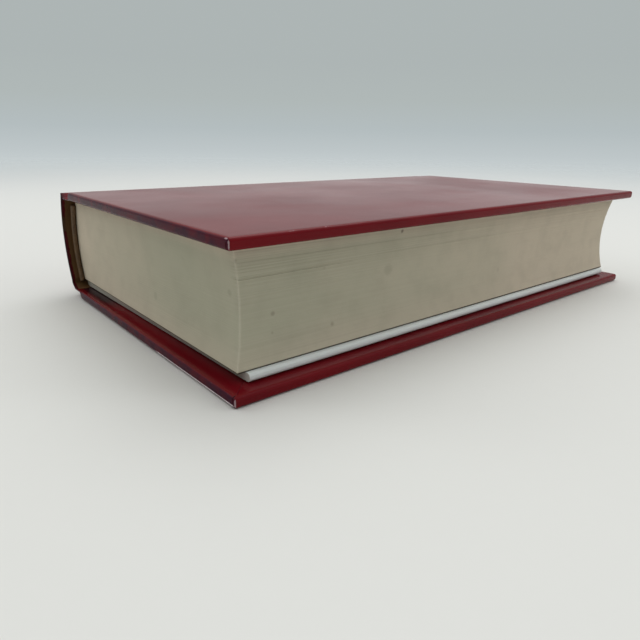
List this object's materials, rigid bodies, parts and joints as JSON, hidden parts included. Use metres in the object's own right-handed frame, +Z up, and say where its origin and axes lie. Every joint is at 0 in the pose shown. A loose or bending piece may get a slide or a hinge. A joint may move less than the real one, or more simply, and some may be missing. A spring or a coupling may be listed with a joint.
{
  "type": "hardback book",
  "caption": "Small thick hardback book lying closed on its back cover, with hinged covers, rounded hollow back and concave fore-edge.",
  "frame": {"origin": "under the middle of the closed book, in the plane that its back cover lies on", "axes": "+X from the spine to the fore-edge, +Y from the tail to the head, +Z up from the back cover to the front cover"},
  "size_m": [0.111, 0.178, 0.0353],
  "materials": {
    "covering": "gloss",
    "leaves": "matte",
    "white_leaves": "satin",
    "endpaper": "matte",
    "board": "matte",
    "kraft": "matte",
    "gauze": "matte",
    "band": "satin"
  },
  "bodies": {
    "book_block": {"text_block": "leaves", "plate_section": "white_leaves", "front_flyleaf": "endpaper", "back_flyleaf": "endpaper", "tail_band": "band", "head_band": "band", "spine_mull": "gauze", "spine_liner": "kraft", "spine_card": "board", "spine_wrap": "covering"},
    "front_cover": {"front_board": "board", "front_wrap": "covering", "front_mull": "gauze", "front_pastedown": "endpaper"},
    "back_cover": {"back_board": "board", "back_wrap": "covering", "back_mull": "gauze", "back_pastedown": "endpaper"}
  },
  "joints": [
    {"name": "front_cover_hinge", "type": "hinge", "parent": "book_block", "child": "front_cover", "pos_m": [-0.04792, 0, 0.0353], "axis": [0, -1, 0], "range_deg": [0, 180]},
    {"name": "back_cover_hinge", "type": "hinge", "parent": "book_block", "child": "back_cover", "pos_m": [-0.04792, 0, 0], "axis": [0, 1, 0], "range_deg": [0, 180]}
  ]
}
